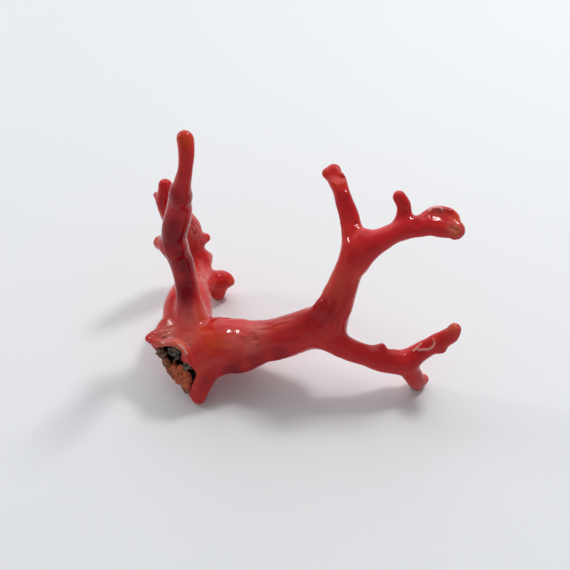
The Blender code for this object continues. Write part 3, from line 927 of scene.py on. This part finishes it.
# ==== crust ====
def side_distance(along, across, out, routes):
    """Distance to the coral's unbroken side from places measured in the break."""
    long_way, cross_way, out_way = break_axes()
    x, y, z = [start + along * a + across * b + out * c for start, a, b, c
               in zip(BREAK_POINT, long_way, cross_way, out_way)]
    nearest = np.full(x.shape, FAR, np.float32)
    for route, blend in routes:
        low, high = route_box(route, FIELD_REACH)
        if (low < BREAK_BOX[1]).all() and (high > BREAK_BOX[0]).all():
            nearest = smooth_min(nearest, distance_to_route(x, y, z, route), blend)
    return nearest


def crust_field():
    """The crust in the hollow, as a field along, across and out of the break."""
    low, high = np.array(CRUST_BOX)
    field = Field(low, high, CRUST_CELL)
    along, across, out = where = np.broadcast_arrays(*field.window(low, high)[1])
    places = np.stack(where, -1).reshape(-1, 3)
    rough = sum(height * lattice_noise(places, spacing, seed)
                for seed, (spacing, height) in enumerate(CRUST_ROUGH, 21)).reshape(out.shape)
    surface = out + CRUST_FLOOR
    for a, b, c, wide, tall, _ in CRUST_LUMPS:
        ball = np.sqrt(((along - a) / wide) ** 2 + ((across - b) / wide) ** 2
                       + ((out - c) / tall) ** 2)
        surface = smooth_min(surface, (ball - 1.0) * tall, CRUST_LUMP_BLEND)
    surface = surface + rough
    for a, b, radius in CRUST_HOLES:
        hole = np.hypot(along - a, across - b) - radius + HOLE_FRAY * rough
        hole = np.maximum(hole, -(out + HOLE_DEPTH))
        surface = smooth_max(surface, -hole, HOLE_BLEND)
    walls = hollow_distance(*where) + CRUST_GAP
    side = side_distance(*where, coral_routes()) - CRUST_OVERHANG + CRUST_EDGE_FRAY * rough
    field.values = np.maximum(smooth_max(surface, side, CRUST_EDGE_BLEND), walls)
    return field


def crust_kind(places):
    """1 where the crust is orange and 0 where it is grey."""
    wander = np.column_stack([lattice_noise(places, KIND_SPACING, seed) for seed in (31, 32)])
    where = places[:, :2] + KIND_WANDER * wander
    away = [np.linalg.norm(where - (a, b), axis=1) / wide
            for a, b, _, wide, _, _ in CRUST_LUMPS]
    return np.array([lump[-1] for lump in CRUST_LUMPS])[np.argmin(away, axis=0)]


def crust_piece(material):
    """The rough crust in the root's hollow."""
    field = crust_field()
    places, numbers = net_points(field)
    places, quads = without_crumbs(places, net_faces(field, numbers))
    places = relax(places, edges_of(quads), CRUST_ROUNDS)
    looks = {"kind": crust_kind(places), "sunk": -places[:, 2]}
    points = np.array(BREAK_POINT) + places @ np.array(break_axes())
    mesh = mesh_from("crust_in_root", points, quads, looks)
    mesh.shade_smooth()
    piece = add_object("crust_in_root", mesh)
    mesh.materials.append(material)
    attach(piece, "root")
    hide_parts("root_crust")


# ==== materials ====
def add_node(tree, kind, inputs, **settings):
    """One node, its inputs each set to a value or linked to another node's output."""
    node = tree.nodes.new(kind)
    for name, value in settings.items():
        setattr(node, name, value)
    for name, value in inputs.items():
        if isinstance(value, bpy.types.NodeSocket):
            tree.links.new(value, node.inputs[name])
        else:
            node.inputs[name].default_value = value
    return node


def attribute(tree, name):
    """The number that the mesh holds at each point under this name."""
    return add_node(tree, "ShaderNodeAttribute", {}, attribute_name=name).outputs["Fac"]


def noise(tree, size, detail=4.0, roughness=0.5):
    """Noise from 0 to 1 whose lumps are about size mm wide, fixed to the object."""
    place = add_node(tree, "ShaderNodeTexCoord", {}).outputs["Object"]
    made = add_node(tree, "ShaderNodeTexNoise",
                    {"Vector": place, "Scale": 1.0 / (size * MM), "Detail": detail,
                     "Roughness": roughness})
    return made.outputs["Fac"]


def spread(tree, value, low, high, to_low=0.0, to_high=1.0):
    """A value's range from low to high turned into another range, and held inside it."""
    made = add_node(tree, "ShaderNodeMapRange",
                    {"Value": value, "From Min": low, "From Max": high, "To Min": to_low,
                     "To Max": to_high}, interpolation_type="SMOOTHSTEP")
    return made.outputs["Result"]


def add_up(tree, a, b, operation="ADD"):
    """Two numbers added, or put together by another operation."""
    return add_node(tree, "ShaderNodeMath", {0: a, 1: b}, operation=operation).outputs[0]


def mix(tree, share, first, second):
    """The first colour turning into the second as the share goes from 0 to 1."""
    made = add_node(tree, "ShaderNodeMix", {0: share, 6: first, 7: second}, data_type="RGBA")
    return made.outputs[2]


def add_bump(tree, shader, pattern, height, strength):
    """Give the shader's surface fine bumps of a height in mm."""
    bump = add_node(tree, "ShaderNodeBump",
                    {"Height": pattern, "Distance": height * MM, "Strength": strength})
    tree.links.new(bump.outputs["Normal"], shader.inputs["Normal"])


def new_material(name, settings):
    """A Principled material with these plain settings, its tree and its shader."""
    material = bpy.data.materials.new(name)
    material.use_nodes = True
    tree = material.node_tree
    shader = tree.nodes["Principled BSDF"]
    for label, value in settings.items():
        shader.inputs[label].default_value = value
    return material, tree, shader


def polished_coral():
    """Glossy red coral: crimson, orange tips, painted light, shade, sheen and glints, growth
    lines.
    """
    material, tree, shader = new_material("coral_polish", {"IOR": 1.28})
    crimson = (0.54, 0.018, 0.021, 1.0)
    pale = (0.58, 0.26, 0.21, 1.0)
    vermilion = (0.60, 0.068, 0.020, 1.0)
    maroon = (0.20, 0.003, 0.009, 1.0)
    hollow_shade_dark = (0.020, 0.010, 0.008, 1.0)
    glint_white = (0.85, 0.50, 0.44, 1.0)
    grain = attribute(tree, "grain")
    patches = spread(tree, noise(tree, 5.0), 0.3, 0.7, -0.20, 0.20)
    streaks = add_up(tree, grain, 0.16, "MULTIPLY")
    uneven = add_up(tree, patches, streaks)
    # Orange on the tips, knobs and lip, and painted light on the lit tops.
    orange_and_lit = add_up(tree, attribute(tree, "orange_and_lit"), uneven)
    colour = mix(tree, spread(tree, orange_and_lit, 0.0, 1.0), crimson, vermilion)
    # Painted shade, maroon, on shaded sides and undersides, and brown in two pits.
    shade_and_pits = add_up(tree, attribute(tree, "shade_and_pits"), uneven, "SUBTRACT")
    colour = mix(tree, spread(tree, shade_and_pits, 0.0, 1.0), colour, maroon)
    # A painted pale sheen where the skin is worn and wrinkled.
    worn_and_sheen = add_up(tree, attribute(tree, "worn_and_sheen"), add_up(tree, uneven, 1.0), "MULTIPLY")
    colour = mix(tree, add_up(tree, worn_and_sheen, 0.38, "MULTIPLY"), colour, pale)
    # Painted shade, maroon, in the grooves.
    crease_shade = spread(tree, attribute(tree, "hollow"), 0.02, 0.5, 0.0, 0.4)
    colour = mix(tree, crease_shade, colour, maroon)
    # Painted shade, near black, deep in the hollow of the break.
    colour = mix(tree, attribute(tree, "hollow_shade"), colour, hollow_shade_dark)
    # Painted glints, near white, along the raised ridges.
    glint_line = spread(tree, attribute(tree, "glint_line"), 0.35, 0.95, 0.0, 0.75)
    colour = mix(tree, glint_line, colour, glint_white)
    tree.links.new(colour, shader.inputs["Base Color"])
    smears = spread(tree, noise(tree, 0.7), 0.35, 0.65)
    smears = add_up(tree, attribute(tree, "worn_and_sheen"), smears, "MULTIPLY")
    polish = spread(tree, noise(tree, 1.6), 0.3, 0.7, 0.04, 0.10)
    rough = add_up(tree, polish, add_up(tree, smears, 0.1, "MULTIPLY"))
    tree.links.new(rough, shader.inputs["Roughness"])
    add_bump(tree, shader, noise(tree, 0.5, roughness=0.6), 0.01, 0.5)
    return material


def root_crust():
    """Rough crust: orange lumps and grey-brown ones, with painted shade, black, where it is sunk.
    """
    material, tree, shader = new_material("pitted_crust", {"Roughness": 0.85})
    rust = (0.52, 0.10, 0.03, 1.0)
    brown = (0.26, 0.055, 0.02, 1.0)
    dark_grey = (0.022, 0.015, 0.011, 1.0)
    stone_grey = (0.24, 0.185, 0.125, 1.0)
    sunk_shade_black = (0.008, 0.006, 0.005, 1.0)
    orange = mix(tree, spread(tree, noise(tree, 0.8), 0.35, 0.7), rust, brown)
    speckle = spread(tree, noise(tree, 0.45, 5.0, 0.6), 0.42, 0.64)
    grey = mix(tree, speckle, dark_grey, stone_grey)
    colour = mix(tree, attribute(tree, "kind"), grey, orange)
    # Painted shade, black, where the crust is sunk deep.
    sunk = spread(tree, attribute(tree, "sunk"), 0.75, 1.5)
    colour = mix(tree, sunk, colour, sunk_shade_black)
    tree.links.new(colour, shader.inputs["Base Color"])
    add_bump(tree, shader, noise(tree, 0.15), 0.06, 0.8)
    return material


# ==== stage ====
def add_floor():
    """A plain pale floor under the coral."""
    corners = FLOOR_HALF * np.array([(-1, -1, 0), (1, -1, 0), (1, 1, 0), (-1, 1, 0)])
    floor = add_object("floor", mesh_from("floor", corners, np.array([[0, 1, 2, 3]]), {}))
    material = new_material("pale_floor", {"Base Color": FLOOR_COLOUR, "Roughness": 0.7})[0]
    floor.data.materials.append(material)


def add_lamp(name, way, power):
    """A square soft lamp that shines on the coral from this direction."""
    light = bpy.data.lights.new(name, "AREA")
    light.size = LAMP_WIDTH * MM
    light.energy = power
    lamp = add_object(name, light)
    lamp.location = Vector(way).normalized() * LAMP_DISTANCE * MM
    lamp.rotation_euler = (-lamp.location).to_track_quat("-Z", "Y").to_euler()


def way_towards(tree, way, aim):
    """How closely a way through the room points at an aim: 1 straight at it, -1 away."""
    return add_node(tree, "ShaderNodeVectorMath", {0: way, 1: Vector(aim).normalized()},
                    operation="DOT_PRODUCT").outputs["Value"]


def add_world():
    """A room with pale walls, bright up behind the coral, as from a window, and dim above."""
    world = bpy.data.worlds.new("room")
    bpy.context.scene.world = world
    world.use_nodes = True
    tree = world.node_tree
    way = add_node(tree, "ShaderNodeTexCoord", {}).outputs["Generated"]
    up = way_towards(tree, way, (0.0, 0.0, 1.0))
    walls = spread(tree, up, *WALL_TOP, WALL_LIGHT, ROOM_LIGHT)
    aim = way_towards(tree, way, WINDOW_WAY)
    window = spread(tree, aim, *WINDOW_EDGE, ROOM_LIGHT, WINDOW_LIGHT)
    background = tree.nodes["Background"]
    background.inputs["Color"].default_value = ROOM_COLOUR
    tree.links.new(add_up(tree, walls, window, "MAXIMUM"), background.inputs["Strength"])


def add_camera():
    """The photograph's viewing angle."""
    data = bpy.data.cameras.new("camera")
    data.lens = CAMERA_LENS
    data.sensor_width = CAMERA_SENSOR
    data.clip_start = CAMERA_CLIP * MM
    camera = add_object("camera", data)
    turn = (Matrix.Rotation(CAMERA_LEFT, 4, "Z")
            @ Matrix.Rotation(math.pi / 2 - CAMERA_DOWN, 4, "X")
            @ Matrix.Rotation(CAMERA_ROLL, 4, "Z"))
    camera.matrix_world = Matrix.Translation(Vector(CAMERA_PLACE) * MM) @ turn
    bpy.context.scene.camera = camera


# ==== the scene ====
bpy.context.scene.view_settings.view_transform = "Standard"
name_pieces(coral_pieces(), polished_coral())
crust_piece(root_crust())
add_floor()
for name, settings in LAMPS.items():
    add_lamp(name, *settings)
add_world()
add_camera()
